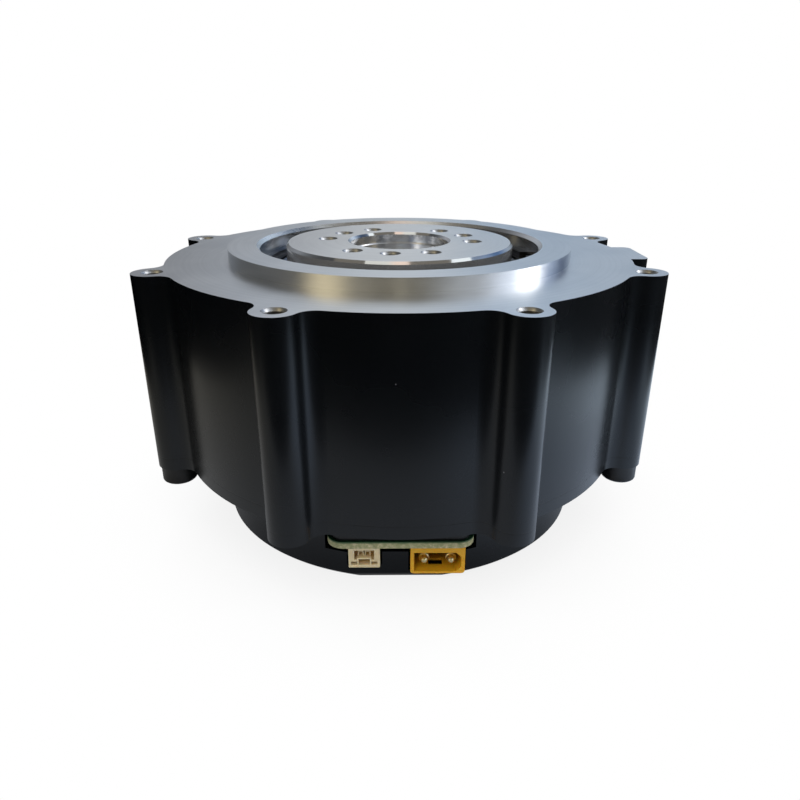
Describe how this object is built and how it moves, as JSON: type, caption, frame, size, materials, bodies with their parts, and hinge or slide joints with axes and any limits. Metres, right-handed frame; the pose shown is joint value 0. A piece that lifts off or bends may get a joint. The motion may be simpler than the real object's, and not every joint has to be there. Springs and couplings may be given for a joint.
{
  "type": "robot joint actuator",
  "caption": "Flat robot joint actuator: brushless motor, planetary gear and crossed roller bearing in a round eared housing, with a drilled output flange.",
  "frame": {"origin": "on the output axis, in the plane of the housing's front mounting face", "axes": "+Z out of the output side along the output axis, -Y towards the connectors, +X towards the flat pad"},
  "size_m": [0.0992, 0.0982, 0.0561],
  "materials": {
    "black_anodised": "satin black anodising, bare on the turned front faces",
    "bare_aluminium": "fine turned, bare",
    "bearing_steel": "ground",
    "gear_steel": "hobbed, oiled",
    "rotor_steel": "turned, zinc plated",
    "lamination": "stacked sheet, dull",
    "copper_winding": "enamelled wire",
    "copper_bar": "bare",
    "nickel": "nickel plated",
    "black_steel": "black oxide",
    "board_green": "solder mask",
    "chip_black": "moulded",
    "brass_spacer": "turned",
    "bronze_bush": "sintered",
    "amber_plastic": "moulded",
    "gold_contact": "gold plated",
    "cream_plastic": "moulded",
    "tinned_contact": "tin plated"
  },
  "bodies": {
    "housing": {"main_housing": "black_anodised", "bearing_split_ring": "bearing_steel", "output_bearing_outer_ring": "bearing_steel", "ring_gear": "gear_steel", "stator_core": "lamination", "stator_coils": "copper_winding", "phase_leads": "copper_bar", "rotor_bearing_outer_ring": "bearing_steel", "rear_plate": "black_anodised", "housing_screws": "black_steel", "rear_cover": "black_anodised", "controller_board": "board_green", "encoder_sensor": "chip_black", "power_chips": "chip_black", "board_spacers": "brass_spacer", "power_connector_shell": "amber_plastic", "power_connector_pins": "gold_contact", "signal_connector_shell": "cream_plastic", "signal_connector_contacts": "tinned_contact"},
    "output": {"output_flange": "bare_aluminium", "output_bearing_inner_ring": "bearing_steel", "planet_carrier": "gear_steel", "carrier_cover": "gear_steel", "planet_pins": "bearing_steel"},
    "roller_set": {"bearing_rollers": "bearing_steel"},
    "rotor": {"rotor_hub": "rotor_steel", "rotor_magnets": "nickel", "sun_gear": "gear_steel", "rotor_bearing_inner_ring": "bearing_steel", "encoder_magnet": "nickel"},
    "planet_1": {"planet_gear_1": "gear_steel", "planet_bush_1": "bronze_bush"},
    "planet_2": {"planet_gear_2": "gear_steel", "planet_bush_2": "bronze_bush"},
    "planet_3": {"planet_gear_3": "gear_steel", "planet_bush_3": "bronze_bush"}
  },
  "joints": [
    {"name": "output_spin", "type": "hinge", "parent": "housing", "child": "output", "pos_m": [0, 0, 0], "axis": [0, 0, 1], "continuous": true},
    {"name": "rotor_spin", "type": "hinge", "parent": "housing", "child": "rotor", "pos_m": [0, 0, 0], "axis": [0, 0, 1], "continuous": true},
    {"name": "roller_orbit", "type": "hinge", "parent": "housing", "child": "roller_set", "pos_m": [0, 0, 0], "axis": [0, 0, 1], "continuous": true},
    {"name": "planet_1_spin", "type": "hinge", "parent": "output", "child": "planet_1", "pos_m": [0.00183, 0.01489, -0.01785], "axis": [0, 0, 1], "continuous": true},
    {"name": "planet_2_spin", "type": "hinge", "parent": "output", "child": "planet_2", "pos_m": [-0.01381, -0.00586, -0.01785], "axis": [0, 0, 1], "continuous": true},
    {"name": "planet_3_spin", "type": "hinge", "parent": "output", "child": "planet_3", "pos_m": [0.01198, -0.00903, -0.01785], "axis": [0, 0, 1], "continuous": true}
  ],
  "couplings": [
    {"joint": "rotor_spin", "follows": "output_spin", "ratio": 5},
    {"joint": "roller_orbit", "follows": "output_spin", "ratio": 0.5},
    {"joint": "planet_1_spin", "follows": "output_spin", "ratio": -2.6667},
    {"joint": "planet_2_spin", "follows": "output_spin", "ratio": -2.6667},
    {"joint": "planet_3_spin", "follows": "output_spin", "ratio": -2.6667}
  ]
}
